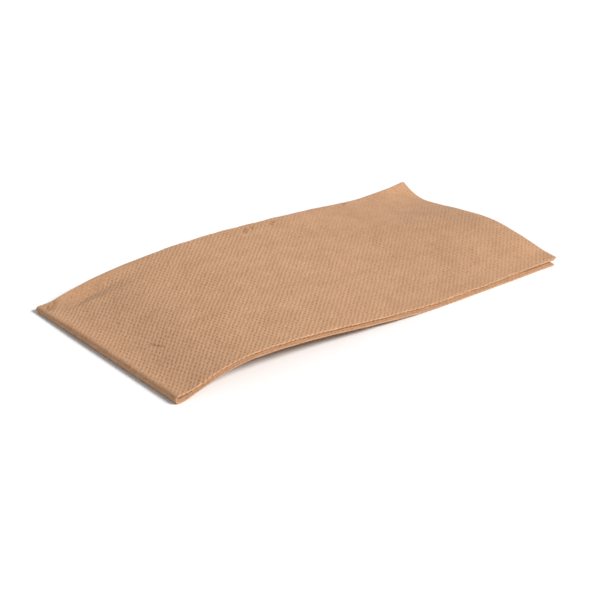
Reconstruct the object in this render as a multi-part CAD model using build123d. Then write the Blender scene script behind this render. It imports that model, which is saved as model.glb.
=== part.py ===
"""A paper napkin, folded in eight and lying on a table.

A square sheet of two-ply embossed tissue is folded in half, in half again the
same way, and then once across.  The result is eight layers deep:

  * the back long side holds the second fold, as two bends, one inside the other
  * the front long side holds the first fold and, inside it, two cut edges
  * the left end is the cross fold, where four layers turn over together
  * the right end is open, and shows the cut ends of all eight layers

It is one sheet, so it is one solid.  Sizes are in millimetres.  X runs along the
long side, Y to the back and Z up.  The origin is on the table, under the middle
of the napkin.
"""

from build123d import *
import math
import os

# The flat sheet
SHEET_LENGTH = 400.0  # folded once across, so the napkin is half as long
SHEET_WIDTH = 400.0  # folded twice lengthwise, so the napkin is a quarter as wide
SHEET_THICKNESS = 0.26  # two plies, with the height of the embossing

# How closely the layers lie
LAYER_GAP = 0.08  # air between two neighbouring layers
MIDDLE_GAP = 0.20  # air between the upper four layers and the lower four
CROSS_FOLD_GAP = 0.90  # the same air where it opens into the loop of the cross fold
CROSS_FOLD_REACH = 14.0  # distance over which that loop closes again
OPEN_END_GAP = 0.45  # extra air between the upper and lower layers at the open end
OPEN_END_REACH = 40.0  # distance from the open end over which it starts

# How far the edges miss one another
UPPER_CUT_SETBACK = 0.7  # the cut edge next to the first fold lies this far behind it
MIDDLE_CUT_SETBACK = 1.1  # the cut edge next to the middle lies this far behind it
CROSS_FOLD_OFFSET = 1.2  # the upper layers end this far beyond the lower ones

# How it lies: on its cross fold, on the front side beyond the middle and on the open end
FLAT_STRIP = 6.0  # the strip next to the cross fold that lies flat
ARCH_START = 0.15  # share of a rise over which it begins gently
FRONT_ARCH_HEIGHT = 7.0  # the front side leaves the table by this much
FRONT_ARCH_RISE = 30.0  # length over which it rises, away from the cross fold
FRONT_ARCH_FALL = 97.0  # length over which it comes down again
FRONT_ARCH_LANDING = 2.0  # power of the fall: at 2 it lands flat, at 1 at a slope
BACK_ARCH_HEIGHT = 8.1  # the back side leaves the table by this much
BACK_ARCH_RISE = 64.0
BACK_ARCH_FALL = 128.0
BACK_ARCH_LANDING = 1.0
CROWN_HEIGHT = 4.7  # the open end bows up between its corners
CROWN_REACH = 66.0  # distance from the open end over which the bow grows
CROWN_CENTRE = -9.2  # Y of the top of the bow
CROWN_HALF_WIDTH = 44.8
CORNER_CURL = 4.8  # the back corner at the open end curls up by this much more
CORNER_CURL_REACH_X = 38.0
CORNER_CURL_REACH_Y = 14.5

# Where the sections are drawn
SECTIONS = 15  # from the flat strip to the open end
SECTION_CROWDING = 1.5  # over 1, they lie closer together near the cross fold
LINE_PLACES = (0.0, 0.14, 0.30, 0.46, 0.62, 0.76, 0.88, 1.0)  # shares of a layer's width

pitch = SHEET_THICKNESS + LAYER_GAP
bundle = 3 * pitch + SHEET_THICKNESS  # four layers
half_length = SHEET_LENGTH / 4
half_width = SHEET_WIDTH / 8
cross_fold_radius = CROSS_FOLD_GAP / 2 + bundle
cross_fold_x = cross_fold_radius - half_length
flat_end_x = cross_fold_x + FLAT_STRIP
upper_end_x = half_length
lower_end_x = half_length - CROSS_FOLD_OFFSET
bend_start_y = half_width - bundle / 2  # the outer back bend starts here
first_fold_y = (pitch + SHEET_THICKNESS) / 2 - half_width


def smooth_step(share):
    """Rise from 0 to 1 without a kink as the share goes from 0 to 1."""
    share = min(max(share, 0.0), 1.0)
    return share * share * (3 - 2 * share)


def gentle_start(share):
    """Rise from 0 to 1, steeply at first but without a kink at the start."""
    share = min(max(share, 0.0), 1.0)
    full = math.hypot(1.0, ARCH_START) - ARCH_START
    return math.sin(math.pi / 2 * (math.hypot(share, ARCH_START) - ARCH_START) / full)


def arch(x, height, rise, fall, landing):
    """Height of one side's arch, which starts at the flat strip beside the cross fold."""
    beyond_top = min(max((x - flat_end_x - rise) / fall, 0.0), 1.0)
    way_down = math.cos(math.pi / 2 * beyond_top) ** landing
    return height * gentle_start((x - flat_end_x) / rise) * way_down


def near_open_end(x, reach):
    """Share from 0, at the given distance before the open end, to 1 at the end."""
    return max(0.0, 1 - (half_length - x) / reach)


def underside(x, y):
    """Height of the napkin's lower face above the table."""
    back_share = (y + half_width) / (2 * half_width)
    front = arch(x, FRONT_ARCH_HEIGHT, FRONT_ARCH_RISE, FRONT_ARCH_FALL, FRONT_ARCH_LANDING)
    back = arch(x, BACK_ARCH_HEIGHT, BACK_ARCH_RISE, BACK_ARCH_FALL, BACK_ARCH_LANDING)
    across = min(1.0, abs(y - CROWN_CENTRE) / CROWN_HALF_WIDTH)
    crown = CROWN_HEIGHT * (1 - across ** 2) ** 2 * smooth_step(near_open_end(x, CROWN_REACH))
    curl_x = near_open_end(x, CORNER_CURL_REACH_X)
    curl_y = max(0.0, 1 - (half_width - y) / CORNER_CURL_REACH_Y)
    curl = CORNER_CURL * (curl_x * curl_y) ** 2
    return front * (1 - back_share) + back * back_share + crown + curl


def middle_air(x):
    """Air between the upper and the lower four layers."""
    beside_fold = math.exp(-(max(0.0, x - flat_end_x) / CROSS_FOLD_REACH) ** 2)
    at_open_end = smooth_step(near_open_end(x, OPEN_END_REACH))
    return MIDDLE_GAP + (CROSS_FOLD_GAP - MIDDLE_GAP) * beside_fold + OPEN_END_GAP * at_open_end


def bundle_section(x, upper):
    """Section through four layers: one strip that doubles back at its three bends.

    A depth is counted from the outer face of the four layers towards the middle.
    Where the napkin lies flat, the layers are drawn as straight lines.
    """
    is_flat = x <= flat_end_x

    def place(y, depth):
        if upper:
            return (x, y, underside(x, y) + 2 * bundle + middle_air(x) - depth)
        return (x, y, underside(x, y) + depth)

    def layer_line(front_y, depth):
        """One face of a layer, drawn from the front to the back bend."""
        if is_flat:
            return Edge.make_line(place(front_y, depth), place(bend_start_y, depth))
        width = bend_start_y - front_y
        points = [place(front_y + share * width, depth) for share in LINE_PLACES]
        return Edge.make_spline(points, parameters=list(LINE_PLACES))

    def bend(y, first_depth, last_depth, outwards):
        """Half a turn that joins two depths, bulging to the back (1) or the front (-1)."""
        radius = abs(last_depth - first_depth) / 2
        start = place(y, first_depth)
        end = place(y, last_depth)
        middle = (x, y + outwards * radius, (start[2] + end[2]) / 2)
        return Edge.make_three_point_arc(start, middle, end)

    def cut(y, depth):
        """A cut edge, as thick as the sheet."""
        return Edge.make_line(place(y, depth), place(y, depth + SHEET_THICKNESS))

    thick = SHEET_THICKNESS
    upper_cut_y = first_fold_y + UPPER_CUT_SETBACK
    middle_cut_y = first_fold_y + MIDDLE_CUT_SETBACK
    outline = [
        layer_line(middle_cut_y, bundle),
        bend(bend_start_y, bundle, 0, 1),
        layer_line(first_fold_y, 0),
        bend(first_fold_y, 0, pitch + thick, -1),
        layer_line(first_fold_y, pitch + thick),
        bend(bend_start_y, pitch + thick, 2 * pitch, 1),
        layer_line(upper_cut_y, 2 * pitch),
        cut(upper_cut_y, 2 * pitch),
        layer_line(upper_cut_y, 2 * pitch + thick),
        bend(bend_start_y, 2 * pitch + thick, pitch, 1),
        layer_line(first_fold_y, pitch),
        bend(first_fold_y, pitch, thick, -1),
        layer_line(first_fold_y, thick),
        bend(bend_start_y, thick, 3 * pitch, 1),
        layer_line(middle_cut_y, 3 * pitch),
        cut(middle_cut_y, 3 * pitch),
    ]
    return Face(Wire(outline))


def four_layers(upper):
    """The upper or the lower four layers, from the flat strip to the open end."""
    length = (upper_end_x if upper else lower_end_x) - flat_end_x
    shares = [(i / (SECTIONS - 1)) ** SECTION_CROWDING for i in range(SECTIONS)]
    return loft([bundle_section(flat_end_x + share * length, upper) for share in shares])


def flat_strip(upper):
    """The upper or the lower four layers beside the cross fold, where they are flat."""
    return extrude(bundle_section(cross_fold_x, upper), FLAT_STRIP, dir=(1, 0, 0))


def cross_fold():
    """The half turn at the left end, where four layers go over from top to bottom."""
    axis_height = bundle + CROSS_FOLD_GAP / 2
    axis = Axis((cross_fold_x, 0, axis_height), (0, 1, 0))
    return Solid.revolve(bundle_section(cross_fold_x, False), 180, axis)


def make_napkin():
    """Join the layers and their fold into one sheet, centred over the origin."""
    napkin = cross_fold()
    for upper in (False, True):
        napkin = napkin + flat_strip(upper) + four_layers(upper)
    box = napkin.bounding_box()
    middle = box.center()
    return Pos(-middle.X, -middle.Y, -box.min.Z) * napkin


napkin = make_napkin()
os.makedirs("parts", exist_ok=True)
export_step(napkin, "parts/napkin.step")
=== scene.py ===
"""Looks of a paper napkin, folded in eight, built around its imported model.

The sheet is triangulated flat, with its finest net where the embossing shows.  A
Geometry Nodes tree then embosses it, folds it in eight and lays it on the table, and a
second one sets loose fibres on its cut edges.  Sizes are in millimetres, as a maker
states them, and positions in metres.
"""

import logging
import math
from dataclasses import dataclass
from enum import Enum, IntEnum
from typing import Any, Sequence, Union

import bpy
import numpy as np
from mathutils import Matrix, Vector
from mathutils.geometry import delaunay_2d_cdt


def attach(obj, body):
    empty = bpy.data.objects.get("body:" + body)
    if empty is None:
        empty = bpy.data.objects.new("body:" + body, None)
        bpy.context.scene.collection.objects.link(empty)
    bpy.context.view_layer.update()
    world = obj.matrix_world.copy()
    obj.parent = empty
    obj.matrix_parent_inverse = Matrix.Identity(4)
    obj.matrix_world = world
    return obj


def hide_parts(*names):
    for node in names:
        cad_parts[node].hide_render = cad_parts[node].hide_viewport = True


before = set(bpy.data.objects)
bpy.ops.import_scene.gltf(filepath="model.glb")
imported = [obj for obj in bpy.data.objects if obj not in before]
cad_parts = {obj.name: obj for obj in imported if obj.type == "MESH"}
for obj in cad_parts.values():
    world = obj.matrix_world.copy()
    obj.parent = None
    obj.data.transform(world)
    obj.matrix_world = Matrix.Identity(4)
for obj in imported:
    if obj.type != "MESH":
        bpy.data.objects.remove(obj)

LOG = logging.getLogger("napkin")
MM = 0.001
ROOT_BODY = "root"
NAPKIN_NODE = "napkin"
RELIEF = "relief"
FLAT = "flat"
RIM = "rim"
BAKE_MAP = "OFBake"

Number = Union[float, "Expression"]
Places = Union[float, np.ndarray]
Span = tuple[float, float]
Triple = tuple[float, float, float]


class Surface(Enum):
    """The two faces of the flat sheet, as the side of its middle that each lies on."""

    OUTWARD = 1
    INWARD = -1


class Part(IntEnum):
    """The stretches across the sheet, in their order from one cut edge to the other."""

    THIRD_LAYER = 0
    INNER_BACK_BEND = 1
    SECOND_LAYER = 2
    FIRST_FOLD = 3
    OUTERMOST_LAYER = 4
    OUTER_BACK_BEND = 5
    INNERMOST_LAYER = 6


def feed(node: bpy.types.Node, feeds: dict[Union[int, str], Any]) -> None:
    """Fill in a node's inputs.

    Args:
        node: the node.
        feeds: for each input a plain value, an expression or another node's output.
    """
    for name, value in feeds.items():
        value = value.socket if isinstance(value, Expression) else value
        if isinstance(value, bpy.types.NodeSocket):
            node.id_data.links.new(value, node.inputs[name])
        else:
            node.inputs[name].default_value = value


def add_node(tree: bpy.types.NodeTree, kind: str, feeds: dict[Union[int, str], Any],
             **settings: Any) -> bpy.types.Node:
    """Add a node to a tree.

    Args:
        tree: the tree.
        kind: the node's type.
        feeds: what its inputs get.
        settings: its own properties, which are set first.

    Returns:
        The node.
    """
    node = tree.nodes.new(kind)
    for name, value in settings.items():
        setattr(node, name, value)
    feed(node, feeds)
    return node


class Expression:
    """A number in a node tree, with its arithmetic written as in Python."""

    def __init__(self, tree: bpy.types.NodeTree, socket: bpy.types.NodeSocket) -> None:
        """Keep the tree and the output socket that gives the number."""
        self.tree = tree
        self.socket = socket

    def combine(self, operation: str, *operands: Number) -> "Expression":
        """Put this number and the operands through a Math node."""
        return math_node(self.tree, operation, self, *operands)

    def __add__(self, other: Number) -> "Expression":
        """Sum."""
        return self.combine("ADD", other)

    __radd__ = __add__

    def __sub__(self, other: Number) -> "Expression":
        """Difference."""
        return self.combine("SUBTRACT", other)

    def __rsub__(self, other: Number) -> "Expression":
        """Difference, with this number taken away."""
        return math_node(self.tree, "SUBTRACT", other, self)

    def __mul__(self, other: Number) -> "Expression":
        """Product."""
        return self.combine("MULTIPLY", other)

    __rmul__ = __mul__

    def __truediv__(self, other: Number) -> "Expression":
        """Quotient."""
        return self.combine("DIVIDE", other)

    def __neg__(self) -> "Expression":
        """Opposite."""
        return self.combine("MULTIPLY", -1.0)

    def squared(self) -> "Expression":
        """Product with itself."""
        return self.combine("MULTIPLY", self)

    def unsigned(self) -> "Expression":
        """Give the number without its sign."""
        return self.combine("ABSOLUTE")

    def turned(self) -> "Expression":
        """Give the cosine of this many turns."""
        return self.combine("MULTIPLY", 2 * math.pi).combine("COSINE")

    def between(self, low: Number, high: Number) -> "Expression":
        """Hold the number between two limits."""
        return self.combine("MAXIMUM", low).combine("MINIMUM", high)

    def over(self, limit: Number) -> "Expression":
        """1 where the number is greater than the limit, and 0 elsewhere."""
        return self.combine("GREATER_THAN", limit)

    def ramp(self, low: Number, high: Number) -> "Expression":
        """Rise smoothly from 0 to 1.

        Args:
            low: the number up to which it is 0.
            high: the number from which it is 1.

        Returns:
            The share.
        """
        ends = {"Value": self, "From Min": low, "From Max": high}
        node = add_node(self.tree, "ShaderNodeMapRange", ends, interpolation_type="SMOOTHSTEP")
        return Expression(self.tree, node.outputs["Result"])


def math_node(tree: bpy.types.NodeTree, operation: str, *operands: Number) -> Expression:
    """Add a Math node.

    Args:
        tree: the tree that it goes into.
        operation: the node's operation.
        operands: its numbers, each a plain one or an expression.

    Returns:
        The node's result.
    """
    node = add_node(tree, "ShaderNodeMath", dict(enumerate(operands)), operation=operation)
    return Expression(tree, node.outputs[0])


def patches(place: tuple[Expression, Expression], size: float, seed: float,
            detail: float = 1.0) -> Expression:
    """Add a soft random field, the same in a shape's tree and in a material's.

    Args:
        place: where it is read, in millimetres.
        size: how wide its patches are, in millimetres.
        seed: which field it is.
        detail: how many finer fields ride on it.

    Returns:
        A number around 0.5.
    """
    tree = place[0].tree
    scaled = {0: place[0] / size, 1: place[1] / size, 2: seed}
    spot = add_node(tree, "ShaderNodeCombineXYZ", scaled).outputs[0]
    noise = {"Vector": spot, "Scale": 1.0, "Detail": detail}
    return Expression(tree, add_node(tree, "ShaderNodeTexNoise", noise).outputs[0])


@dataclass(frozen=True)
class Folds:
    """How the sheet is cut and folded, in millimetres."""

    sheet_length: float = 400.0
    sheet_width: float = 400.0
    thickness: float = 0.26
    layer_gap: float = 0.08
    cross_fold_gap: float = 0.90
    upper_cut_setback: float = 0.45
    middle_cut_setback: float = 0.65
    cross_fold_offset: float = 1.2

    @property
    def pitch(self) -> float:
        """Height from one layer to the next."""
        return self.thickness + self.layer_gap

    @property
    def bundle(self) -> float:
        """Height of four layers."""
        return 3 * self.pitch + self.thickness

    @property
    def half_length(self) -> float:
        """Half of the folded napkin's length."""
        return self.sheet_length / 4

    @property
    def half_width(self) -> float:
        """Half of the folded napkin's width."""
        return self.sheet_width / 8

    @property
    def turn_radius(self) -> float:
        """Outer radius of the cross fold, and the height of its middle."""
        return self.cross_fold_gap / 2 + self.bundle

    @property
    def turn_x(self) -> float:
        """X where the cross fold's half turn ends and the layers begin."""
        return self.turn_radius - self.half_length

    @property
    def quarter_turn(self) -> float:
        """Length of a quarter of the cross fold, along its outer face."""
        return self.turn_radius * math.pi / 2

    @property
    def back_bend_y(self) -> float:
        """Y where the bends of the second fold begin."""
        return self.half_width - self.bundle / 2

    @property
    def first_fold_y(self) -> float:
        """Y where the bend of the first fold begins."""
        return (self.pitch + self.thickness) / 2 - self.half_width

    @property
    def upper_end(self) -> float:
        """Length from the middle of the cross fold to the upper layers' end."""
        return self.quarter_turn + self.half_length - self.turn_x

    @property
    def lower_end(self) -> float:
        """Length from the middle of the cross fold to the lower layers' end."""
        return self.upper_end - self.cross_fold_offset


@dataclass(frozen=True)
class Stretch:
    """One stretch across the sheet: a flat layer, or a bend between two layers.

    The depth is that of the stretch's middle below the outer face of four layers.
    A flat layer runs along Y, and a bend is half a turn of the given radius.
    """

    start: float
    length: float
    y: float
    y_way: int
    depth: float
    face_way: int
    radius: float = 0.0

    @property
    def is_bend(self) -> bool:
        """True for a bend, False for a flat layer."""
        return self.radius > 0

    @property
    def end(self) -> float:
        """Where the stretch ends, across the flat sheet."""
        return self.start + self.length

    @property
    def middle(self) -> float:
        """Where its middle is, across the flat sheet."""
        return (self.start + self.end) / 2


def stretches(folds: Folds) -> list[Stretch]:
    """List the stretches across the sheet, from one cut edge to the other.

    Args:
        folds: the sheet's sizes.

    Returns:
        The third layer, the inner back bend, the second layer, the first fold, the
        outermost layer, the outer back bend and the innermost layer.
    """
    pitch, middle = folds.pitch, folds.thickness / 2
    front, back = folds.first_fold_y, folds.back_bend_y
    pieces = (
        (back - front - folds.upper_cut_setback, front + folds.upper_cut_setback, 1,
         2 * pitch + middle, -1, 0.0),
        (math.pi * pitch / 2, back, 1, 1.5 * pitch + middle, -1, pitch / 2),
        (back - front, back, -1, pitch + middle, 1, 0.0),
        (math.pi * pitch / 2, front, -1, 0.5 * pitch + middle, 1, pitch / 2),
        (back - front, front, 1, middle, -1, 0.0),
        (math.pi * 1.5 * pitch, back, 1, 1.5 * pitch + middle, 1, 1.5 * pitch),
        (back - front - folds.middle_cut_setback, back, -1, 3 * pitch + middle, 1, 0.0),
    )
    made, start = [], 0.0
    for length, y, y_way, depth, face_way, radius in pieces:
        made.append(Stretch(start, length, y, y_way, depth, face_way, radius))
        start += length
    return made

@dataclass(frozen=True)
class Wear:
    """How folding and handling press the embossing out again, in millimetres and shares.

    It is lost at the cross fold's shoulder, where the back bend swells, little by little
    towards the open end, and where the back corner there is rubbed.
    """

    shoulder: Span = (-1.2, 1.8)
    shoulder_left: float = 0.25
    swollen_width: float = 13.0
    swollen_taper: float = 0.19
    swollen_edge: Span = (-4.0, 0.5)
    swollen_start: Span = (3.0, 8.0)
    swollen_loss: float = 0.8
    crispness: float = 1.45
    fading: Span = (30.0, 180.0)
    fading_loss: float = 0.5
    rubbed_along: Span = (110.0, 165.0)
    rubbed_across: Span = (12.0, 46.0)
    rubbed_loss: float = 0.7
    underside_left: float = 0.55

    def left(self, folds: Folds, along: Expression, across: Expression) -> Expression:
        """Work out how much of the embossing is left.

        Args:
            folds: how the sheet is folded.
            along: place along the flat sheet, in millimetres.
            across: place across it.

        Returns:
            0 where it is pressed out, and more the crisper it is.
        """
        from_turn = along.unsigned() - folds.quarter_turn
        least = self.shoulder_left
        shoulder = from_turn.ramp(*self.shoulder) * (1.0 - least) + least
        from_bend = (across - stretches(folds)[Part.OUTERMOST_LAYER].end).unsigned()
        width = self.swollen_width - from_turn * self.swollen_taper
        upper = along.over(0.0)
        swollen = (1.0 - (from_bend - width).ramp(*self.swollen_edge)) * upper
        crisp = (1.0 - along.ramp(*self.fading) * self.fading_loss) * self.crispness
        rubbed = along.ramp(*self.rubbed_along) * (1.0 - from_bend.ramp(*self.rubbed_across))
        crisp = crisp * (1.0 - rubbed * self.rubbed_loss) - self.underside_left
        crisp = crisp * upper + self.underside_left
        lost = swollen * from_turn.ramp(*self.swollen_start) * self.swollen_loss
        return shoulder * crisp * (1.0 - lost)


@dataclass(frozen=True)
class Embossing:
    """The embossed net: dimples in slanting rows, in millimetres."""

    step_along: Span = (2.05, -0.27)
    step_across: Span = (-0.45, 1.79)
    wave_strengths: Triple = (0.75, 0.75, 1.3)
    depth: float = 0.24
    ridge_share: float = 0.33
    stray: float = 1.1
    stray_size: float = 3.4
    uneven_size: float = 5.0
    uneven_rise: Span = (0.25, 0.75)
    uneven_gain: float = 0.8
    weakest: float = 0.6
    wear: Wear = Wear()
    seed: float = 4.0

    def waves(self) -> list[Span]:
        """Work out the three waves that add up to the dimples.

        Returns:
            Their turns per millimetre, along and across.
        """
        inverse = np.linalg.inv(np.array([self.step_along, self.step_across]).T)
        first, second = (tuple(row) for row in inverse)
        return [first, second, (first[0] - second[0], first[1] - second[1])]

    def net(self, low: Sequence[float], high: Sequence[float], fine: bool) -> np.ndarray:
        """Lay points on the dimples, on the ridges between them and, if fine, on their slopes.

        Args:
            low: the lowest corner of the area.
            high: its highest corner.
            fine: True for nine points a dimple, False for three.

        Returns:
            The points, one a row.
        """
        steps = np.array([self.step_along, self.step_across]) / 3
        reach = int(2 * max(high[0] - low[0], high[1] - low[1]) / np.abs(steps).max())
        along, across = np.meshgrid(np.arange(-reach, reach), np.arange(-reach, reach))
        if not fine:
            kept = (along + across) % 3 == 0
            along, across = along[kept], across[kept]
        points = np.stack([along.ravel(), across.ravel()], axis=1) @ steps
        inside = ((points > low) & (points < high)).all(axis=1)
        return points[inside]

    def pressed(self, along: Expression, across: Expression) -> Expression:
        """Work out how far the dimples press a place in.

        Args:
            along: place along the flat sheet, in millimetres.
            across: place across it.

        Returns:
            0 on the ridges between the dimples, rising to 1 in the middle of each.
        """
        along_there, across_there = (
            place + (patches((along, across), self.stray_size, self.seed + step) - 0.5) * self.stray
            for place, step in ((along, 1.0), (across, 2.0))
        )
        total: Number = 0.0
        for strength, wave in zip(self.wave_strengths, self.waves()):
            turns = along_there * wave[0] + across_there * wave[1]
            total = turns.turned() * strength + total
        full = sum(self.wave_strengths)
        return (total + full / 2) / (1.5 * full)


@dataclass(frozen=True)
class Crease:
    """A short pinch in the upper face, from one place on the napkin to another."""

    start: Span
    end: Span
    width: float


CREASES = (
    Crease((-91.9, 48.4), (-96.5, 43.0), 1.15),
    Crease((-95.6, 47.6), (-97.6, 44.0), 0.80),
    Crease((-85.4, -12.4), (-84.8, -14.6), 0.65),
    Crease((-84.5, -15.6), (-83.6, -17.5), 0.65),
    Crease((1.6, 43.0), (4.8, 46.4), 0.80),
    Crease((7.0, 44.9), (8.2, 46.8), 0.70),
    Crease((17.2, 44.6), (20.2, 46.8), 0.75),
    Crease((61.0, 47.4), (63.8, 49.3), 0.80),
)


def creased(folds: Folds, along: Expression, across: Expression) -> Expression:
    """Work out how far the short creases press a place in.

    Args:
        folds: how the sheet is folded.
        along: place along the flat sheet, in millimetres.
        across: place across it.

    Returns:
        0 away from them, rising to 1 along their middles.
    """
    x = along + (folds.turn_x - folds.quarter_turn)
    y = across + (folds.first_fold_y - stretches(folds)[Part.OUTERMOST_LAYER].start)
    total: Number = 0.0
    for crease in CREASES:
        run = Vector(crease.end) - Vector(crease.start)
        from_x, from_y = x - crease.start[0], y - crease.start[1]
        share = ((from_x * run.x + from_y * run.y) / run.length_squared).between(0.0, 1.0)
        away = (from_x - share * run.x).squared() + (from_y - share * run.y).squared()
        total = (away / -(crease.width ** 2)).combine("EXPONENT") + total
    return total


@dataclass(frozen=True)
class Arch:
    """How one long side rises from the table and comes down again, in millimetres.

    The landing is the power of the fall: 2 where it lands flat, 1 where it lands at a slope.
    """

    height: float
    rise: float
    fall: float
    landing: float


@dataclass(frozen=True)
class Lie:
    """How the napkin lies: on its cross fold, its front side and its open end, arched between.

    Sizes are in millimetres.  A pair of them is where something begins and where it is full.
    """

    seed: float = 11.0
    # The air between the upper and the lower four layers
    middle_gap: float = 0.14
    cross_fold_reach: float = 5.0
    open_end_gap: float = 0.45
    open_end_reach: float = 40.0
    puff: float = 0.5
    puff_size: float = 26.0
    puff_rise: Span = (0.3, 0.75)
    puff_start: float = 30.0
    puff_margin: float = 14.0
    # The arches, the bow of the open end and the curl of its back corner
    flat_strip: float = 0.0
    arch_start: float = 0.07
    front_arch: Arch = Arch(7.4, 36.0, 103.0, 2.0)
    back_arch: Arch = Arch(8.2, 73.0, 126.0, 1.0)
    crown_height: float = 4.7
    crown_reach: float = 66.0
    crown_centre: float = -9.2
    crown_half_width: float = 44.8
    corner_curl: float = 4.8
    curl_reach_along: float = 38.0
    curl_reach_across: float = 14.5
    # The swollen back bend beside the cross fold
    back_roll: float = 0.6
    roll_start: Span = (2.0, 10.0)
    roll_end: Span = (22.0, 58.0)
    roll_width: float = 8.0
    # The valley in front of it, whose front slope is steep below and gentle above
    back_dip: float = 2.2
    dip_start: Span = (2.0, 12.0)
    dip_end: Span = (13.0, 46.0)
    dip_drift: float = 0.12
    dip_drift_most: float = 3.5
    dip_from_back: float = 6.0
    dip_slopes: tuple[Span, Span] = ((6.0, 0.8), (20.0, 0.2))
    dip_back_width: float = 8.0
    dip_most: float = 0.75
    # The cross fold, and its pinched back corner
    fold_squareness: float = 0.72
    pinch: float = 0.25
    pinch_width: float = 35.0
    pinch_length: float = 14.0
    # The edges along the front and at the open end
    edge_wander: float = 0.55
    wander_size: float = 14.0
    wander_width: float = 12.0
    edge_fray: float = 0.22
    fray_size: float = 0.9
    fray_width: float = 2.5
    layer_step: float = 31.0
    pair_gap: float = 0.40
    pair_size: float = 16.0
    pair_rise: Span = (0.25, 0.65)
    pair_width: float = 9.0
    pair_along: Span = (-25.0, 35.0)
    pair_least: float = 0.15
    pair_start: Span = (3.0, 30.0)
    end_stagger: float = 0.45
    stagger_size: float = 40.0
    stagger_step: float = 17.0
    # The short creases
    crease_depth: float = 0.18


class MapPlace(Enum):
    """Parts of the sheet's UV map: the corner of each, and its scale for a millimetre."""

    TOP = ((0.003, 0.003), 0.00484)
    UNDERSIDE = ((0.410, 0.508), 0.00242)
    INNER_LAYERS = ((0.410, 0.760), 0.00098)
    INNERMOST_LAYER = ((0.003, 0.500), 0.00098)
    INWARD_FACE = ((0.003, 0.600), 0.00098)

    def spread(self, places: np.ndarray, start: Span) -> np.ndarray:
        """Turn places on the flat sheet into places on the map, its corner at the start."""
        corner, scale = self.value
        return (places - start) * scale + corner


def row(along: Places, across: Places) -> np.ndarray:
    """Pair places along the sheet with places across it, one point a row."""
    return np.stack(np.broadcast_arrays(along, across), axis=1)


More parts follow.
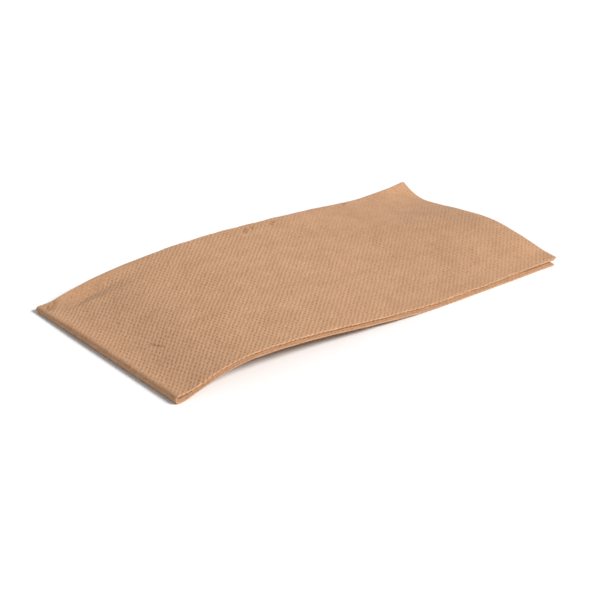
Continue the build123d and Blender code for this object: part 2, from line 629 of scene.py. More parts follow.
class FlatSheet:
    """The sheet before it is folded: two triangulated faces joined by their rim.

    X runs along the sheet from the middle of the cross fold, Y across it from the first
    cut edge, and Z through it.  All are in millimetres.
    """

    rim_step = 0.66
    rim_inset = 0.6
    rim_relief = 0.45
    hidden_bend_step = 2.6
    bend_nets = ((Part.INNER_BACK_BEND, 3, hidden_bend_step), (Part.FIRST_FOLD, 5, rim_step),
                 (Part.OUTER_BACK_BEND, 6, 1.0))
    turn_rows = 9
    coarse_step = 7.5
    curl_step = 3.8
    curl_reach = (30.0, 22.0)
    dip_step = 2.9
    dip_reach = (48.0, 17.0)
    net_margin = 0.32
    nearest = 0.17
    key_step = 1_000_003
    on_line = 1e-6
    merge_distance = 1e-5
    rim_lanes = 8
    rim_lane_height = 0.0068
    rim_lane_filled = 0.7
    rim_lane_length = 0.485
    rim_corner = (0.41, 0.942)

    def __init__(self, folds: Folds, embossing: Embossing) -> None:
        """Keep the sizes and work out the stretches across the sheet.

        Args:
            folds: how the sheet is cut and folded.
            embossing: the net of dimples, whose points it takes.
        """
        self.folds = folds
        self.embossing = embossing
        self.stretches = stretches(folds)
        self.low = (-folds.lower_end, 0.0)
        self.high = (folds.upper_end, self.stretches[-1].end)

    def places(self, axis: int, step: float) -> np.ndarray:
        """Give places along (0) or across (1) the sheet, about a step apart, ends left out."""
        low, high = self.low[axis], self.high[axis]
        return np.linspace(low, high, round((high - low) / step) + 1)[1:-1]

    def border(self) -> np.ndarray:
        """List the points of the sheet's outline.

        Returns:
            The points, once round.
        """
        along, across = (self.places(axis, self.rim_step) for axis in (0, 1))
        (west, south), (east, north) = self.low, self.high
        return np.concatenate([
            row(np.append(west, along), south),
            row(east, np.append(south, across)),
            row(np.append(east, along[::-1]), north),
            row(west, np.append(north, across[::-1])),
        ])

    def rows(self) -> list[np.ndarray]:
        """List the points just inside the outline, and those along the three long bends.

        Returns:
            The points, a group for each row of them.
        """
        along, across = (self.places(axis, self.rim_step)[1:-1] for axis in (0, 1))
        inset = self.rim_inset
        made = [row(along, inset), row(along, self.high[1] - inset),
                row(self.low[0] + inset, across), row(self.high[0] - inset, across)]
        for part, turns, step in self.bend_nets:
            bend = self.stretches[part]
            for place in np.linspace(bend.start, bend.end, turns + 1):
                made.append(row(self.places(0, step), place))
        return made

    def turn_points(self) -> list[np.ndarray]:
        """List rows of points round the cross fold, where it is seen only end on."""
        turn, across = self.folds.quarter_turn, self.places(1, self.hidden_bend_step)
        return [row(place, across) for place in np.linspace(-turn, turn, self.turn_rows)]

    def grid(self, step: float, west: float, east: float) -> np.ndarray:
        """Lay a square net over the sheet, from one place along it to another."""
        across = np.arange(self.low[1] + step / 2, self.high[1], step)
        return np.stack(np.meshgrid(np.arange(west, east, step), across), axis=-1).reshape(-1, 2)

    def from_back(self, points: np.ndarray) -> np.ndarray:
        """Give how far each point lies from the nearer of the two back bends."""
        bends = (self.stretches[Part.INNER_BACK_BEND], self.stretches[Part.OUTER_BACK_BEND])
        return np.min([np.abs(points[:, 1] - bend.middle) for bend in bends], axis=0)

    def coarse_points(self) -> np.ndarray:
        """Lay a wide net over the sheet, and closer ones at the curled corner and the valley.

        Returns:
            The points, one a row.
        """
        west, east = self.low[0], self.high[0]
        wide, curled = (self.grid(step, west + step / 2, east)
                        for step in (self.coarse_step, self.curl_step))
        at_end = np.abs(curled[:, 0]) > self.folds.upper_end - self.curl_reach[0]
        curled = curled[at_end & (self.from_back(curled) < self.curl_reach[1])]
        dipped = self.grid(self.dip_step, -self.dip_reach[0], self.dip_reach[0])
        dipped = dipped[self.from_back(dipped) < self.dip_reach[1]]
        return np.concatenate([wide, curled, dipped])

    def face(self, surface: Surface) -> tuple[np.ndarray, np.ndarray, np.ndarray]:
        """Triangulate one face of the sheet.

        Args:
            surface: which face.

        Returns:
            Its points, its triangles, and how far each point follows the embossing.
        """
        border = self.border()
        detailed = self.rows()
        plain = self.turn_points() + [self.coarse_points()]
        if surface is Surface.OUTWARD:
            outer, margin = self.stretches[Part.OUTERMOST_LAYER], self.net_margin
            turn, (west, east) = -self.folds.quarter_turn, (self.low[0], self.high[0])
            start, end = outer.start + margin, outer.end - margin
            detailed, plain = ([self.outside(points, outer.start, outer.end) for points in group]
                               for group in (detailed, plain))
            detailed.append(self.embossing.net((turn, start), (east - margin, end), True))
            detailed.append(
                self.embossing.net((west + margin, start), (turn - margin, end), False))
        points = np.concatenate([border] + detailed + plain)
        relief = np.zeros(len(points))
        relief[: len(border) + sum(map(len, detailed))] = 1.0
        relief[: len(border)] = self.rim_relief
        points, relief = self.thinned(points, relief, len(border))
        found = delaunay_2d_cdt([Vector(p) for p in points], [], [], 0, self.merge_distance)
        if len(found[0]) != len(points):
            raise ValueError(f"{len(points) - len(found[0])} points of the sheet coincide")
        return points, np.array(found[2]), relief

    def outside(self, points: np.ndarray, start: float, end: float) -> np.ndarray:
        """Leave out the points that lie between two places across the sheet."""
        across = points[:, 1]
        return points[(across <= start + self.on_line) | (across >= end - self.on_line)]

    def thinned(self, points: np.ndarray, relief: np.ndarray, kept: int
                ) -> tuple[np.ndarray, np.ndarray]:
        """Leave out points that come too near an earlier one.

        Args:
            points: the points, the most important first.
            relief: a value for each, which is thinned alike.
            kept: how many of the first ones always stay.

        Returns:
            The points and values that are left.
        """
        cells = np.floor(points / self.nearest).astype(np.int64)
        _, first = np.unique(cells[:, 0] * self.key_step + cells[:, 1], return_index=True)
        chosen = np.zeros(len(points), bool)
        chosen[first] = True
        chosen[:kept] = True
        return points[chosen], relief[chosen]

    def face_places(self, places: np.ndarray, surface: Surface) -> np.ndarray:
        """Lay one face's triangles out on the UV map, most of it for the face that shows.

        Args:
            places: the triangles' corners on the flat sheet, three to a triangle.
            surface: which face.

        Returns:
            The corners' places on the map.
        """
        if surface is Surface.INWARD:
            return MapPlace.INWARD_FACE.spread(places, self.low)
        west, turn = self.low[0], self.folds.quarter_turn
        first = self.stretches[Part.FIRST_FOLD].start
        last = self.stretches[Part.OUTER_BACK_BEND].end
        along, across = places.mean(axis=1).T
        spread = MapPlace.TOP.spread(places, (-turn, first))
        for patch, chosen, start in (
            (MapPlace.UNDERSIDE, along < -turn, (west, first)),
            (MapPlace.INNER_LAYERS, across < first, self.low),
            (MapPlace.INNERMOST_LAYER, across > last, (west, last)),
        ):
            spread[chosen] = patch.spread(places[chosen], start)
        return spread

    def rim_places(self, count: int) -> np.ndarray:
        """Lay the rim's faces out on the UV map, as a few strips above one another.

        Args:
            count: how many faces there are.

        Returns:
            The places of the faces' corners on the map.
        """
        share = np.arange(count + 1) / count * self.rim_lanes
        lane = np.floor(share[:-1])
        left, right = (self.rim_corner[0] + self.rim_lane_length * (part - lane)
                       for part in (share[:-1], share[1:]))
        low = self.rim_corner[1] + lane * self.rim_lane_height
        high = low + self.rim_lane_height * self.rim_lane_filled
        corners = ((left, low), (right, low), (right, high), (left, high))
        return np.stack([np.stack(corner, axis=1) for corner in corners], axis=1)

    def mesh(self) -> bpy.types.Mesh:
        """Join the two faces by their rim.

        Returns:
            A closed mesh with a UV map, whose points carry their relief and their place on
            the flat sheet, and whose faces tell whether they are of the rim.
        """
        border_count = len(self.border())
        points, faces, relief, mapped, base = [], [], [], [], 0
        for surface in Surface:
            flat, triangles, follows = self.face(surface)
            turned = triangles[:, :: surface.value]
            mapped.append(self.face_places(flat[turned], surface).reshape(-1, 2))
            height = np.full(len(flat), surface.value * self.folds.thickness / 2)
            points.append(np.column_stack([flat, height]))
            faces += (turned + base).tolist()
            relief.append(follows)
            base += len(flat)
        start = len(points[0])
        around = np.arange(border_count)
        after = np.roll(around, -1)
        rim = np.stack([around + start, after + start, after, around], axis=1).tolist()
        mapped.append(self.rim_places(len(rim)).reshape(-1, 2))
        mesh = bpy.data.meshes.new("napkin_sheet")
        mesh.from_pydata(np.concatenate(points).tolist(), [], faces + rim)
        is_rim = np.zeros(len(mesh.polygons), np.float32)
        is_rim[-len(rim):] = 1.0
        for name, kind, domain, field, values in (
            (RELIEF, "FLOAT", "POINT", "value", np.concatenate(relief)),
            (FLAT, "FLOAT_VECTOR", "POINT", "vector", np.concatenate(points)),
            (RIM, "FLOAT", "FACE", "value", is_rim),
        ):
            data = mesh.attributes.new(name, kind, domain).data
            data.foreach_set(field, values.astype(np.float32).ravel())
        spread = np.concatenate(mapped).astype(np.float32).ravel()
        mesh.uv_layers.new(name=BAKE_MAP).data.foreach_set("uv", spread)
        mesh.polygons.foreach_set("use_smooth", np.ones(len(mesh.polygons), bool))
        return mesh


def geometry_tree(name: str) -> bpy.types.NodeTree:
    """Start a Geometry Nodes tree.

    Args:
        name: the tree's name.

    Returns:
        The tree, with a shape going in and a shape coming out.
    """
    tree = bpy.data.node_groups.new(name, "GeometryNodeTree")
    for way in ("INPUT", "OUTPUT"):
        tree.interface.new_socket("Geometry", in_out=way, socket_type="NodeSocketGeometry")
    return tree


def end_tree(shape: bpy.types.NodeSocket, material: bpy.types.Material) -> None:
    """End a Geometry Nodes tree: make all of its shape real, and of one material.

    Args:
        shape: the output that the shape comes from.
        material: the material.
    """
    tree = shape.id_data
    real = add_node(tree, "GeometryNodeRealizeInstances", {0: shape}).outputs[0]
    dress = {"Geometry": real, "Material": material}
    dressed = add_node(tree, "GeometryNodeSetMaterial", dress).outputs[0]
    add_node(tree, "NodeGroupOutput", {"Geometry": dressed})


def stored(tree: bpy.types.NodeTree, name: str) -> Expression:
    """Read a number that the mesh carries."""
    node = add_node(tree, "GeometryNodeInputNamedAttribute", {"Name": name}, data_type="FLOAT")
    return Expression(tree, node.outputs["Attribute"])


class FoldingTree:
    """A Geometry Nodes tree that embosses a flat sheet, folds it in eight and lays it down.

    In its methods, along, across and through are a place in the flat sheet, and x and y
    one on the table, all in millimetres.
    """

    def __init__(self, folds: Folds, embossing: Embossing, lie: Lie,
                 material: bpy.types.Material) -> None:
        """Keep the sizes and the finish, and start an empty tree.

        Args:
            folds: how the sheet is cut and folded.
            embossing: the net of dimples.
            lie: how the napkin lies.
            material: its finish.
        """
        self.material = material
        self.folds = folds
        self.embossing = embossing
        self.lie = lie
        self.tree = geometry_tree("fold_in_eight")
        self.values: dict[str, float] = {}
        self.inputs = self.tree.nodes.new("NodeGroupInput")

    def size(self, name: str, value: float) -> Expression:
        """Add a named input to the tree, or use it again.

        Args:
            name: the input's name.
            value: what the napkin's own modifier gives it.

        Returns:
            The input's number.
        """
        if name not in self.values:
            self.tree.interface.new_socket(name, in_out="INPUT", socket_type="NodeSocketFloat")
            self.values[name] = value
        return Expression(self.tree, self.inputs.outputs[name])

    def choose(self, test: Expression, low: Number, high: Number) -> Expression:
        """Choose between two numbers.

        Args:
            test: 0 or 1.
            low: the number for 0.
            high: the number for 1.

        Returns:
            The number that is chosen.
        """
        ways = {"Switch": test, "False": low, "True": high}
        node = add_node(self.tree, "GeometryNodeSwitch", ways, input_type="FLOAT")
        return Expression(self.tree, node.outputs[0])

    def embossed(self, along: Expression, across: Expression, through: Expression) -> Expression:
        """Press the dimples and the creases into the sheet.

        Args:
            along: place along the flat sheet.
            across: place across it.
            through: place through it.

        Returns:
            The new place through it.
        """
        net = self.embossing
        uneven = patches((along, across), net.uneven_size, net.seed, 3.0)
        strength = uneven.ramp(*net.uneven_rise) * net.uneven_gain + net.weakest
        raised = along.over(0.0) * self.size("Ridge share", net.ridge_share)
        height = (raised - net.pressed(along, across)) * strength
        height = height * net.wear.left(self.folds, along, across)
        height = height * self.size("Embossing depth", net.depth)
        deepest = self.size("Crease depth", self.lie.crease_depth)
        crease = creased(self.folds, along, across) * deepest
        return through + (height - crease) * stored(self.tree, RELIEF)

    def across_fold(self, across: Expression, through: Expression
                    ) -> tuple[Expression, Expression, Expression]:
        """Fold the sheet twice lengthwise.

        Args:
            across: place across the flat sheet.
            through: place through it.

        Returns:
            Y, the depth below the outer face of four layers, and the layer's kind: 0 on the
            outer pair, 1 on the third layer and 2 on the fourth.
        """
        y, depth, kind = None, None, None
        for part, stretch in zip(Part, stretches(self.folds)):
            local = across - stretch.start
            if stretch.is_bend:
                angle = local * (math.pi / stretch.length)
                radius = through * stretch.face_way + stretch.radius
                part_y = radius * angle.combine("SINE") * stretch.y_way + stretch.y
                swing = -stretch.y_way * stretch.face_way
                part_depth = radius * angle.combine("COSINE") * swing + stretch.depth
            else:
                part_y = local * stretch.y_way + stretch.y
                part_depth = through * stretch.face_way + stretch.depth
            if part is Part.THIRD_LAYER:
                y, depth, kind = part_y, part_depth, local * 0.0 + 1.0
                continue
            here = across.over(stretch.start)
            y = self.choose(here, y, part_y)
            depth = self.choose(here, depth, part_depth)
            if part in (Part.SECOND_LAYER, Part.OUTER_BACK_BEND):
                kind = self.choose(here, kind, 0.0 if part is Part.SECOND_LAYER else 2.0)
        return y, depth, kind

    def from_front(self, y: Expression, width: float) -> Expression:
        """Give 0 at the front edge, rising to 1 at a distance from it."""
        front = -self.folds.half_width
        return y.ramp(front, width + front)

    def wandering(self, along: Expression, y: Expression, kind: Expression) -> Expression:
        """Let the folded and cut edges along the front wander, and the cut ones fray.

        Args:
            along: place along the flat sheet.
            y: place across the napkin.
            kind: kind of the layer.

        Returns:
            The new place across the napkin.
        """
        lie, lane = self.lie, kind * self.lie.layer_step
        wander, fray = (
            patches((along, lane), size, lie.seed + step, 2.0) - 0.5
            for size, step in ((lie.wander_size, 1.0), (lie.fray_size, 2.0))
        )
        cut_edge = (1.0 - self.from_front(y, lie.fray_width)) * kind.between(0.0, 1.0)
        shift = wander * (1.0 - self.from_front(y, lie.wander_width))
        shift = shift * self.size("Edge wander", lie.edge_wander)
        return y + shift + fray * cut_edge * self.size("Edge fray", lie.edge_fray)

    def near_end(self, x: Expression, reach: Expression) -> Expression:
        """Give 0 at a distance before the open end, rising evenly to 1 at the end."""
        half = self.size("Half length", self.folds.half_length)
        return (1.0 - (half - x) / reach).combine("MAXIMUM", 0.0)

    def beyond(self, x: Expression) -> Expression:
        """Give how far a place lies beyond the flat strip beside the cross fold."""
        return x - self.size("Flat end", self.folds.turn_x + self.lie.flat_strip)

    def arch(self, x: Expression, name: str, sizes: Arch) -> Expression:
        """Arch one long side.

        Args:
            x: place along the napkin.
            name: what its inputs are called by.
            sizes: its sizes.

        Returns:
            The arch's height.
        """
        height, rise, fall, landing = (
            self.size(f"{name} {part}", value) for part, value in vars(sizes).items()
        )
        beyond, start = self.beyond(x), self.size("Arch start", self.lie.arch_start)
        share = (beyond / rise).between(0.0, 1.0)
        eased = (share.squared() + start.squared()).combine("SQRT") - start
        full = (start.squared() + 1.0).combine("SQRT") - start
        way_up = (eased / full * (math.pi / 2)).combine("SINE")
        gone = ((beyond - rise) / fall).between(0.0, 1.0)
        way_down = (gone * (math.pi / 2)).combine("COSINE").combine("MAXIMUM", 0.0)
        return height * way_up * way_down.combine("POWER", landing)

    def underside(self, x: Expression, y: Expression) -> Expression:
        """Lay the napkin's lower face on the table.

        Args:
            x: place along the napkin.
            y: place across it.

        Returns:
            The face's height above the table.
        """
        lie, half = self.lie, self.folds.half_width
        back_share = (y + half) / (2 * half)
        front = self.arch(x, "Front arch", lie.front_arch)
        back = self.arch(x, "Back arch", lie.back_arch)
        from_centre = (y - self.size("Crown centre", lie.crown_centre)).unsigned()
        width = self.size("Crown half width", lie.crown_half_width)
        across = (from_centre / width).combine("MINIMUM", 1.0)
        near = self.near_end(x, self.size("Crown reach", lie.crown_reach))
        crown = (1.0 - across.squared()).squared() * near.ramp(0.0, 1.0)
        crown = crown * self.size("Crown height", lie.crown_height)
        curl_x = self.near_end(x, self.size("Curl reach along", lie.curl_reach_along))
        curl_y = 1.0 - (half - y) / self.size("Curl reach across", lie.curl_reach_across)
        curl = (curl_x * curl_y.combine("MAXIMUM", 0.0)).squared()
        curl = curl * self.size("Corner curl", lie.corner_curl)
        arched = front * (1.0 - back_share) + back * back_share
        sunk = self.dip(x, y).combine("MINIMUM", arched * lie.dip_most)
        return arched - sunk + crown + curl

    def air(self, x: Expression, y: Expression) -> Expression:
        """Work out the air between the upper and the lower four layers.

        Args:
            x: place along the napkin.
            y: place across it.

        Returns:
            The air's height.
        """
        lie = self.lie
        beyond = self.beyond(x).combine("MAXIMUM", 0.0)
        reach = self.size("Cross fold reach", lie.cross_fold_reach)
        beside = (-(beyond / reach).squared()).combine("EXPONENT")
        near = self.near_end(x, self.size("Open end reach", lie.open_end_reach))
        at_end = near.ramp(0.0, 1.0) * self.size("Open end gap", lie.open_end_gap)
        gap = self.size("Middle gap", lie.middle_gap)
        uneven = patches((x, y), lie.puff_size, lie.seed, 2.0).ramp(*lie.puff_rise)
        inside = beyond.ramp(0.0, lie.puff_start) * self.from_front(y, lie.puff_margin)
        puff = uneven * inside * self.size("Puff", lie.puff)
        fold_gap = self.size("Cross fold gap", self.folds.cross_fold_gap)
        beside_fold = (fold_gap - gap) * beside
        return gap + beside_fold + at_end + puff + self.back_roll(beyond, y)

    def back_roll(self, beyond: Expression, y: Expression) -> Expression:
        """Let the back bend swell beside the cross fold, where it can't lie flat.

        Args:
            beyond: distance beyond the flat strip.
            y: place across the napkin.

        Returns:
            How far it swells.
        """
        lie, half = self.lie, self.folds.half_width
        along = beyond.ramp(*lie.roll_start) * (1.0 - beyond.ramp(*lie.roll_end))
        across = y.ramp(half - lie.roll_width, half)
        return along * across * self.size("Back roll", lie.back_roll)

    def dip(self, x: Expression, y: Expression) -> Expression:
        """Let the napkin sag in front of the swollen back bend.

        Args:
            x: place along the napkin.
            y: place across it.

        Returns:
            How far it sags.
        """
        lie = self.lie
        beyond = self.beyond(x).combine("MAXIMUM", 0.0)
        along = beyond.ramp(*lie.dip_start) * (1.0 - beyond.ramp(*lie.dip_end))
        lane = (beyond * lie.dip_drift).combine("MINIMUM", lie.dip_drift_most)
        past = y + lane - (self.folds.half_width - lie.dip_from_back)
        steep, gentle = (
            (past / width + 1.0).between(0.0, 1.0) * share for width, share in lie.dip_slopes
        )
        back = (1.0 - past / lie.dip_back_width).between(0.0, 1.0)
        return along * (steep + gentle) * back * self.size("Back dip", lie.back_dip)

    def pair_lift(self, x: Expression, y: Expression) -> Expression:
        """Lift the outer pair of layers off the two cut ones at the front.

        Args:
            x: place along the napkin.
            y: place across it.

        Returns:
            How far it stands off them.
        """
        lie = self.lie
        wander = patches((x, y), lie.pair_size, lie.seed + 3.0, 2.0).ramp(*lie.pair_rise)
        along = x.ramp(*lie.pair_along) * (1.0 - lie.pair_least) + lie.pair_least
        front = 1.0 - self.from_front(y, lie.pair_width)
        return front * wander * along * self.size("Pair gap", lie.pair_gap)

    def laid(self, along: Expression, y: Expression, depth: Expression, kind: Expression
             ) -> tuple[Expression, Expression]:
        """Fold the four layers once across, and lay the eight on the table.

        Args:
            along: place along the flat sheet, from the middle of the cross fold.
            y: place across the napkin.
            depth: depth below the outer face of four layers.
            kind: kind of the layer.

        Returns:
            X and the height above the table.
        """
        lie, folds, half = self.lie, self.folds, self.folds.half_width
        turn = self.size("Quarter turn", folds.quarter_turn)
        radius = self.size("Turn radius", folds.turn_radius)
        angle = (along / turn).between(-1.0, 1.0) * (math.pi / 2)
        reach = radius - depth
        straight = (along.unsigned() - turn).combine("MAXIMUM", 0.0)
        bulge = angle.combine("COSINE").combine("MAXIMUM", 0.0)
        bulge = bulge.combine("POWER", self.size("Fold squareness", lie.fold_squareness))
        x = self.size("Turn X", folds.turn_x) + straight - reach * bulge
        near = self.near_end(x, self.size("Open end reach", lie.open_end_reach)).squared()
        spot = (y, kind * lie.stagger_step)
        uneven = patches(spot, lie.stagger_size, lie.seed + 4.0, 1.0) + 0.5
        x = x - near * kind * uneven * self.size("End stagger", lie.end_stagger)
        lifted = self.pair_lift(x, y) * (1.0 - kind.between(0.0, 1.0))
        lifted = lifted * straight.ramp(*lie.pair_start)
        rise = self.air(x, y) - self.size("Cross fold gap", folds.cross_fold_gap) + lifted
        pinched = y.ramp(half - lie.pinch_width, half)
        pinched = pinched * (1.0 - straight.ramp(0.0, lie.pinch_length))
        squeezed = 1.0 - pinched * self.size("Pinch", lie.pinch)
        through_fold = (radius + reach * angle.combine("SINE")) * squeezed
        return x, self.underside(x, y) + through_fold + along.over(0.0) * rise

    def build(self) -> bpy.types.NodeTree:
        """Wire the tree up.

        Returns:
            The finished tree.
        """
        position = self.tree.nodes.new("GeometryNodeInputPosition")
        split = add_node(self.tree, "ShaderNodeSeparateXYZ", {0: position.outputs[0]})
        along, across, through = (Expression(self.tree, socket) for socket in split.outputs)
        through = self.embossed(along, across, through)
        y, depth, kind = self.across_fold(across, through)
        y = self.wandering(along, y, kind)
        x, height = self.laid(along, y, depth, kind)
        spot = {index: value * MM for index, value in enumerate((x, y, height))}
        joined = add_node(self.tree, "ShaderNodeCombineXYZ", spot).outputs[0]
        moved = {"Geometry": self.inputs.outputs["Geometry"], "Position": joined}
        place = add_node(self.tree, "GeometryNodeSetPosition", moved)
        end_tree(place.outputs[0], self.material)
        return self.tree


def apply_tree(obj: bpy.types.Object, tree: bpy.types.NodeTree, values: dict[str, float]) -> None:
    """Run a Geometry Nodes tree on an object and keep its plain mesh.

    Args:
        obj: the object that the tree changes.
        tree: the tree.
        values: a number for each of its named inputs.
    """
    modifier = obj.modifiers.new("shape", "NODES")
    modifier.node_group = tree
    for item in tree.interface.items_tree:
        if item.name in values:
            modifier[item.identifier] = values[item.name]
    obj.update_tag()
    evaluated = obj.evaluated_get(bpy.context.evaluated_depsgraph_get())
    mesh = bpy.data.meshes.new_from_object(evaluated)
    obj.modifiers.remove(modifier)
    obj.data = mesh


def add_object(name: str, data: bpy.types.ID) -> bpy.types.Object:
    """Add an object to the scene.

    Args:
        name: the object's name.
        data: its mesh, camera or light.

    Returns:
        The object.
    """
    obj = bpy.data.objects.new(name, data)
    bpy.context.scene.collection.objects.link(obj)
    return obj


def add_material(name: str) -> tuple[bpy.types.Material, bpy.types.Node]:
    """Start a material.

    Args:
        name: the material's name.

    Returns:
        The material and its shader.
    """
    material = bpy.data.materials.new(name)
    material.use_nodes = True
    return material, material.node_tree.nodes["Principled BSDF"]


def mix(share: Expression, low: Union[Triple, bpy.types.NodeSocket], high: Triple
        ) -> bpy.types.NodeSocket:
    """Mix two colours.

    Args:
        share: share of the second colour.
        low: the first colour, a plain one or a node's.
        high: the second colour.

    Returns:
        The mixed colour.
    """
    start = (*low, 1.0) if isinstance(low, tuple) else low
    ends = {"Factor": share, "A": start, "B": (*high, 1.0)}
    return add_node(share.tree, "ShaderNodeMix", ends, data_type="RGBA").outputs["Result"]


@dataclass(frozen=True)
class Mottle:
    """A random field in a finish.

    It has so many patches in a unit of the coordinates, finer fields that ride on it, a
    weight, two levels between which it rises, and a share of its scale on each axis.
    """

    scale: float
    detail: float
    weight: float = 1.0
    rise: Span = (0.3, 0.7)
    stretch: Triple = (1.0, 1.0, 1.0)

    def field(self, place: bpy.types.NodeSocket) -> Expression:
        """Add the field to a material.

        Args:
            place: the coordinates that it reads.

        Returns:
            A number around 0.5.
        """
        tree = place.id_data
        mapping = add_node(tree, "ShaderNodeMapping", {"Vector": place, "Scale": self.stretch})
        noise = {"Vector": mapping.outputs[0], "Scale": self.scale, "Detail": self.detail}
        return Expression(tree, add_node(tree, "ShaderNodeTexNoise", noise).outputs[0])

    def shade(self, field: Expression) -> Expression:
        """Let a field rise from 0 to the weight between the two levels."""
        return field.ramp(*self.rise) * self.weight

    def tone(self, place: bpy.types.NodeSocket) -> Expression:
        """Add the field to a material, and let it rise from 0 to the weight."""
        return self.shade(self.field(place))


@dataclass(frozen=True)
class TissueFinish:
    """Unbleached, recycled tissue: brown, matt, mottled and full of short fibres; its colour also
    holds painted shade in the dimples and creases and a painted highlight on the ridges.
    """

    name: str = "embossed_tissue"
    pale: Triple = (0.518, 0.300, 0.172)
    dark: Triple = (0.386, 0.206, 0.108)
    # Dark colour of the specks, also used for the painted shade along the creases
    fleck_and_painted_crease_shade: Triple = (0.200, 0.095, 0.045)
    strand: Triple = (0.700, 0.440, 0.270)
    cloud: Mottle = Mottle(0.055, 3.0, 0.18, (0.35, 0.65))
    blotch: Mottle = Mottle(0.16, 2.0, 0.24)
    grain: Mottle = Mottle(1.4, 4.0, 0.34, (0.32, 0.68))
    crumb: Mottle = Mottle(0.75, 1.0, 0.28)
    strands: Mottle = Mottle(2.6, 3.0, 0.2, (0.45, 0.7), (0.2, 1.0, 1.0))
    cross_strands: Mottle = Mottle(2.3, 3.0, stretch=(1.0, 0.25, 1.0))
    specks: Mottle = Mottle(1.1, 0.0, 0.5, (0.76, 0.82), (1.0, 0.6, 1.0))
    threads: Mottle = Mottle(1.9, 0.0, 0.45, (0.77, 0.82), (0.16, 1.0, 1.0))
    pit_mottle: Mottle = Mottle(0.28, 2.0, 0.7)
    pit_least: float = 0.5
    pit_most: float = 1.4
    pit_rise: Span = (0.52, 0.98)
    # Painted shade in the dimples: how much darker their colour is made
    painted_pit_shade: float = 0.44
    ridge_rise: Span = (0.0, 0.42)
    # Painted highlight on the ridges between the dimples: how much paler their colour is made
    painted_ridge_highlight: float = 0.31
    darkening: float = 0.14
    end_rise: Span = (110.0, 200.0)
    end_paleness: float = 0.14
    # Painted shade along the short creases
    painted_crease_shade: float = 0.46
    bump_depth: float = 0.09
    fibre_bump: float = 0.45
    grain_bump: float = 0.6
    pit_bump: float = 0.9
    roughness: float = 0.95
    specular: float = 0.15
    sheen: float = 0.05
    sheen_roughness: float = 0.6

    def build(self, folds: Folds, embossing: Embossing) -> bpy.types.Material:
        """Make the material.

        Args:
            folds: how the sheet is folded, which presses some of the embossing out.
            embossing: the net of dimples, which the bump and the painted shade and highlight in the
                colour follow.

        Returns:
            The material, which reads where each place lies on the flat sheet.
        """
        material, shader = add_material(self.name)
        tree = material.node_tree
        flat = add_node(tree, "ShaderNodeAttribute", {}, attribute_name=FLAT).outputs["Vector"]
        split = add_node(tree, "ShaderNodeSeparateXYZ", {0: flat}).outputs
        along, across = Expression(tree, split[0]), Expression(tree, split[1])
        left = embossing.wear.left(folds, along, across)
        pressed = embossing.pressed(along, across)
        # Dimple mask: painted shade in the colour, and real depth in the bump
        pit = pressed.ramp(*self.pit_rise) * left * (self.pit_mottle.tone(flat) + self.pit_least)
        pit = pit.between(0.0, self.pit_most)
        # Ridge mask for the painted highlight
        ridge_highlight_mask = (1.0 - pressed.ramp(*self.ridge_rise)) * left
        grain = self.grain.field(flat)
        fibre = self.strands.field(flat).combine("MAXIMUM", self.cross_strands.field(flat))
        tone = self.cloud.tone(flat) + self.blotch.tone(flat) + self.grain.shade(grain)
        tone = tone + self.crumb.tone(flat) - self.darkening + self.strands.shade(fibre)
        # Painted highlight on the ridges and painted shade in the dimples
        tone = tone + ridge_highlight_mask * self.painted_ridge_highlight - pit * self.painted_pit_shade
        tone = tone + along.ramp(*self.end_rise) * self.end_paleness
        # Painted shade along the creases, in the specks' dark colour
        crease = (creased(folds, along, across) * self.painted_crease_shade).between(0.0, 1.0)
        colour = mix(tone.between(0.0, 1.0), self.dark, self.pale)
        colour = mix(self.specks.tone(flat), colour, self.fleck_and_painted_crease_shade)
        colour = mix(crease, colour, self.fleck_and_painted_crease_shade)
        colour = mix(self.threads.tone(flat), colour, self.strand)
        height = fibre * self.fibre_bump + grain * self.grain_bump - pit * self.pit_bump
        relief = {"Strength": 1.0, "Distance": self.bump_depth * MM, "Height": height}
        feed(shader, {
            "Base Color": colour,
            "Roughness": self.roughness,
            "Specular IOR Level": self.specular,
            "Sheen Weight": self.sheen,
            "Sheen Roughness": self.sheen_roughness,
            "Normal": add_node(tree, "ShaderNodeBump", relief).outputs[0],
        })
        return material


@dataclass(frozen=True)
class FibreFinish:
    """A single paper fibre: paler than the tissue, a little glossy, darker here and there."""

    name: str = "paper_fibre"
    pale: Triple = (0.640, 0.400, 0.240)
    dark: Triple = (0.430, 0.230, 0.120)
    cloud: Mottle = Mottle(900.0, 1.0)
    roughness: float = 0.7

    def build(self) -> bpy.types.Material:
        """Make the material, which reads the piece's Object coordinates.

        Returns:
            The material.
        """
        material, shader = add_material(self.name)
        place = material.node_tree.nodes.new("ShaderNodeTexCoord").outputs["Object"]
        colour = mix(self.cloud.tone(place), self.dark, self.pale)
        feed(shader, {"Base Color": colour, "Roughness": self.roughness})
        return material


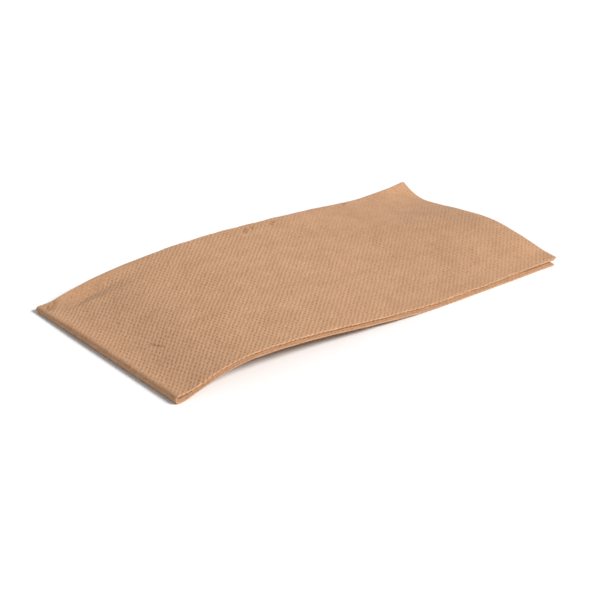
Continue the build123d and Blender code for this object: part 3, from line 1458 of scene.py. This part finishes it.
@dataclass(frozen=True)
class EdgeFibres:
    """Loose fibres that stand out of the sheet's cut edges, in millimetres."""

    root_depth: float = 0.15
    bend_height: float = 0.4
    length: float = 0.75
    curl: float = 0.22
    thickness: float = 0.045
    segments: int = 4
    sides: int = 3
    density: float = 1.6
    longest: float = 1.5
    shortest: float = 0.45
    tilt: float = 1.0
    seed: int = 5
    finish: FibreFinish = FibreFinish()

    def tree(self) -> tuple[bpy.types.NodeTree, dict[str, float]]:
        """Wire up the tree that sets the fibres on the faces of a mesh's rim.

        Returns:
            The tree, and a number for each of its named inputs.
        """
        tree = geometry_tree("fibres_on_rim")
        values = {
            "Fibres per square metre": self.density / MM ** 2,
            "Thickness": self.thickness / 2 * MM,
            "Shortest": self.shortest,
            "Longest": self.longest,
        }
        for name in values:
            tree.interface.new_socket(name, in_out="INPUT", socket_type="NodeSocketFloat")
        inputs = tree.nodes.new("NodeGroupInput").outputs
        points = add_node(tree, "GeometryNodeDistributePointsOnFaces", {
            "Mesh": inputs["Geometry"],
            "Selection": stored(tree, RIM).over(0.5),
            "Density": inputs["Fibres per square metre"],
            "Seed": self.seed,
        }).outputs
        line = add_node(tree, "GeometryNodeCurveQuadraticBezier", {
            "Resolution": self.segments,
            "Start": Vector((0.0, 0.0, -self.root_depth)) * MM,
            "Middle": Vector((0.0, 0.0, self.bend_height)) * MM,
            "End": Vector((self.curl, 0.0, self.length)) * MM,
        })
        ring = {"Resolution": self.sides, "Radius": inputs["Thickness"]}
        profile = add_node(tree, "GeometryNodeCurvePrimitiveCircle", ring)
        fibre = add_node(tree, "GeometryNodeCurveToMesh", {
            "Curve": line.outputs[0],
            "Profile Curve": profile.outputs[0],
            "Fill Caps": True,
        })
        tilt = Vector((self.tilt, self.tilt, math.pi))
        lean = self.random(tree, "FLOAT_VECTOR", 1, {"Min": -tilt, "Max": tilt})[0]
        lengths = {2: inputs["Shortest"], 3: inputs["Longest"]}
        stretch = self.random(tree, "FLOAT", 2, lengths)[1]
        turned = {0: points["Rotation"], 1: lean}
        turn = add_node(tree, "FunctionNodeRotateRotation", turned, rotation_space="LOCAL")
        size = add_node(tree, "ShaderNodeCombineXYZ", {0: 1.0, 1: 1.0, 2: stretch})
        placed = add_node(tree, "GeometryNodeInstanceOnPoints", {
            "Points": points["Points"],
            "Instance": fibre.outputs[0],
            "Rotation": turn.outputs[0],
            "Scale": size.outputs[0],
        })
        end_tree(placed.outputs[0], self.finish.build())
        return tree, values

    def random(self, tree: bpy.types.NodeTree, kind: str, step: int,
               limits: dict[Union[int, str], Any]) -> Sequence[bpy.types.NodeSocket]:
        """Add a node that gives each point its own random value, and give its outputs."""
        feeds = {**limits, "Seed": self.seed + step}
        return add_node(tree, "FunctionNodeRandomValue", feeds, data_type=kind).outputs

    def build(self, sheet: bpy.types.Object) -> bpy.types.Object:
        """Set the fibres on the folded sheet's rim.

        Args:
            sheet: the folded sheet.

        Returns:
            The fibres, as one object.
        """
        obj = add_object("edge_fibres", sheet.data.copy())
        apply_tree(obj, *self.tree())
        fibre = next(material for material in obj.data.materials if material)
        obj.data.materials.clear()
        obj.data.materials.append(fibre)
        obj.data.polygons.foreach_set("material_index", np.zeros(len(obj.data.polygons), int))
        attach(obj, ROOT_BODY)
        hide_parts(NAPKIN_NODE)
        report(obj)
        return obj


@dataclass(frozen=True)
class Napkin:
    """The folded napkin, one sheet from cut edge to cut edge, and its loose fibres."""

    folds: Folds = Folds()
    embossing: Embossing = Embossing()
    lie: Lie = Lie()
    finish: TissueFinish = TissueFinish()
    fibres: EdgeFibres = EdgeFibres()
    sharp_angle: float = 60.0

    def build(self) -> bpy.types.Object:
        """Returns:
            The napkin's object.
        """
        tissue = self.finish.build(self.folds, self.embossing)
        obj = add_object("napkin_sheet", FlatSheet(self.folds, self.embossing).mesh())
        folding = FoldingTree(self.folds, self.embossing, self.lie, tissue)
        apply_tree(obj, folding.build(), folding.values)
        obj.data.set_sharp_from_angle(angle=math.radians(self.sharp_angle))
        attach(obj, ROOT_BODY)
        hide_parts(NAPKIN_NODE)
        self.fibres.build(obj)
        report(obj)
        return obj


def report(obj: bpy.types.Object) -> None:
    """Log a piece's triangles and size.

    Args:
        obj: the piece.
    """
    obj.data.calc_loop_triangles()
    size = tuple(round(side / MM, 2) for side in obj.dimensions)
    LOG.info("%s: %d triangles, %s mm", obj.name, len(obj.data.loop_triangles), size)


@dataclass(frozen=True)
class Studio:
    """A plain pale table, soft light and the camera.

    The camera's aim and distance are in millimetres, and the table's sizes in metres.
    """

    azimuth: float = -38.54
    elevation: float = 25.65
    distance: float = 735.84
    aim_right: float = -1.40
    aim_up: float = -5.07
    lens: float = 105.0
    clip: Span = (0.01, 50.0)
    floor_centre: float = 0.05
    floor_radius: float = 6.0
    sweep_radius: float = 1.2
    sweep_steps: int = 8
    sweep_segments: int = 96
    floor_colour: Triple = (0.88, 0.88, 0.88)
    floor_roughness: float = 0.9
    key_direction: Triple = (0.40, -0.68, 0.61)
    key_strength: float = 4.15
    key_spread: float = 20.0
    room_glow: float = 0.38

    def camera(self) -> None:
        """Place the camera and make it the scene's."""
        turn, tilt = math.radians(self.azimuth), math.radians(self.elevation)
        back = Vector((math.sin(turn) * math.cos(tilt), -math.cos(turn) * math.cos(tilt),
                       math.sin(tilt)))
        right = Vector((math.cos(turn), math.sin(turn), 0.0))
        up = back.cross(right)
        place = (right * self.aim_right + up * self.aim_up + back * self.distance) * MM
        data = bpy.data.cameras.new("camera")
        data.lens = self.lens
        data.clip_start, data.clip_end = self.clip
        camera = add_object("camera", data)
        axes = Matrix((right, up, back)).transposed().to_4x4()
        camera.matrix_world = Matrix.Translation(place) @ axes
        bpy.context.scene.camera = camera

    def floor(self) -> None:
        """Lay the round table top, which sweeps up into a low wall far from the napkin."""
        profile = [(self.floor_centre, 0.0), (self.floor_radius, 0.0)]
        for step in range(1, self.sweep_steps + 1):
            angle = math.pi / (2 * self.sweep_steps) * step
            out, up = math.sin(angle), 1 - math.cos(angle)
            profile.append((self.floor_radius + self.sweep_radius * out, self.sweep_radius * up))
        count = self.sweep_segments
        turns = [2 * math.pi * index / count for index in range(count)]
        points = [(0.0, 0.0, 0.0)]
        for radius, height in profile:
            points += [(radius * math.cos(a), radius * math.sin(a), height) for a in turns]
        faces = [(0, 1 + index, 1 + (index + 1) % count) for index in range(count)]
        for ring in range(len(profile) - 1):
            inner, outer = 1 + ring * count, 1 + (ring + 1) * count
            for index in range(count):
                after = (index + 1) % count
                faces.append((inner + index, outer + index, outer + after, inner + after))
        mesh = bpy.data.meshes.new("table")
        mesh.from_pydata(points, [], faces)
        mesh.polygons.foreach_set("use_smooth", np.ones(len(faces), bool))
        material, shader = add_material("table")
        feed(shader, {"Base Color": (*self.floor_colour, 1.0), "Roughness": self.floor_roughness})
        mesh.materials.append(material)
        table = add_object("table", mesh)

    def lights(self) -> None:
        """Hang a wide key light and light the room evenly."""
        data = bpy.data.lights.new("key", "SUN")
        data.angle = math.radians(self.key_spread)
        data.energy = self.key_strength
        direction = Vector(self.key_direction).normalized()
        key = add_object("key", data)
        key.matrix_world = direction.to_track_quat("Z", "Y").to_matrix().to_4x4()
        world = bpy.data.worlds.new("room")
        world.use_nodes = True
        glow = {"Color": (1.0, 1.0, 1.0, 1.0), "Strength": self.room_glow}
        feed(world.node_tree.nodes["Background"], glow)
        bpy.context.scene.world = world

    def build(self) -> None:
        """Set up the table, the lights and the camera."""
        self.camera()
        self.floor()
        self.lights()
        bpy.context.scene.view_settings.view_transform = "Standard"


def main() -> None:
    """Build the studio and the napkin, and note how large they are."""
    logging.basicConfig(level=logging.INFO, format="%(message)s")
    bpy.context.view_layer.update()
    Studio().build()
    Napkin().build()


if __name__ == "__main__":
    main()
